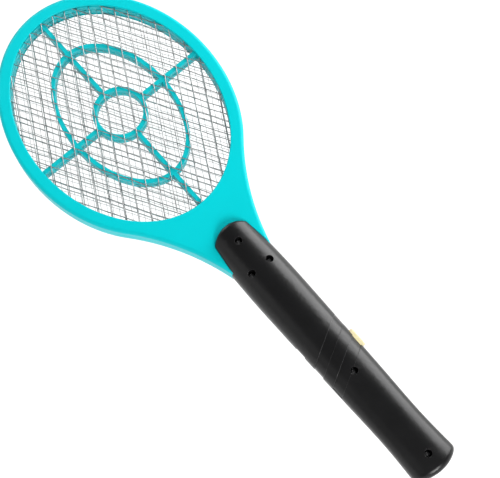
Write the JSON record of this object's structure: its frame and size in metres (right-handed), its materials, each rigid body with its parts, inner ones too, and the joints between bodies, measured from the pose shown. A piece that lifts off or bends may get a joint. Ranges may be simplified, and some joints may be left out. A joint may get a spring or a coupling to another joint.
{
  "type": "electric fly swatter",
  "caption": "Battery-powered racket with an oval wire-grid head, rib webs, a moulded two-part handle, a side push button and a hinged battery door.",
  "frame": {"origin": "middle of the overall length and width, on the plane of the head's front face, which the swatter lies on", "axes": "+Y towards the tip of the head, +Z out of the rear face (the side with the screws), +X towards the push button"},
  "size_m": [0.175, 0.4796, 0.027],
  "materials": {
    "head_plastic": "satin moulded turquoise",
    "web_plastic": "satin moulded turquoise, a little darker",
    "handle_plastic": "satin moulded black",
    "outer_wire": "drawn steel",
    "inner_wire": "drawn steel",
    "contact_metal": "thin plated strip",
    "screw_steel": "zinc plated",
    "button_plastic": "pale yellow",
    "board": "green laminate",
    "ferrite": "sintered ferrite",
    "winding_copper": "lacquered copper wire",
    "capacitor_body": "dipped film",
    "diode_body": "moulded black",
    "resistor_body": "lacquered tan",
    "transistor_body": "moulded black",
    "led_lens": "red tinted lens",
    "switch_plastic": "moulded black",
    "plunger_plastic": "moulded white",
    "cell_jacket": "printed sleeve, plain",
    "contact_spring": "nickel plated wire",
    "lead_red": "insulated wire",
    "lead_white": "insulated wire"
  },
  "bodies": {
    "body": {"frame_rear": "head_plastic", "frame_front": "head_plastic", "spacer_web_rear": "web_plastic", "spacer_web_front": "web_plastic", "outer_grid_rear": "outer_wire", "outer_grid_front": "outer_wire", "inner_grid": "inner_wire", "outer_grid_contact": "contact_metal", "inner_grid_contact": "contact_metal", "handle_shell_rear": "handle_plastic", "handle_shell_front": "handle_plastic", "housing_screws": "screw_steel", "circuit_board": "board", "transformer_core": "ferrite", "transformer_winding": "winding_copper", "storage_capacitor": "capacitor_body", "rectifier_diodes": "diode_body", "bleed_resistors": "resistor_body", "oscillator_transistor": "transistor_body", "indicator_led": "led_lens", "switch_body": "switch_plastic", "battery_right": "cell_jacket", "battery_left": "cell_jacket", "battery_terminal_plates": "contact_metal", "battery_bridge_plate": "contact_metal", "battery_springs": "contact_spring", "hv_lead_outer": "lead_red", "hv_lead_inner": "lead_white", "battery_leads": "lead_red"},
    "button": {"push_button": "button_plastic", "switch_plunger": "plunger_plastic"},
    "door": {"battery_door": "handle_plastic"}
  },
  "joints": [
    {"name": "button_press", "type": "slide", "parent": "body", "child": "button", "axis": [-1, 0, 0], "range_m": [0, 0.0015], "stiffness_N_per_m": 600, "springref_m": -0.002},
    {"name": "battery_door_hinge", "type": "hinge", "parent": "body", "child": "door", "pos_m": [0, -0.15465, 0], "axis": [1, 0, 0], "range_deg": [0, 60]}
  ]
}
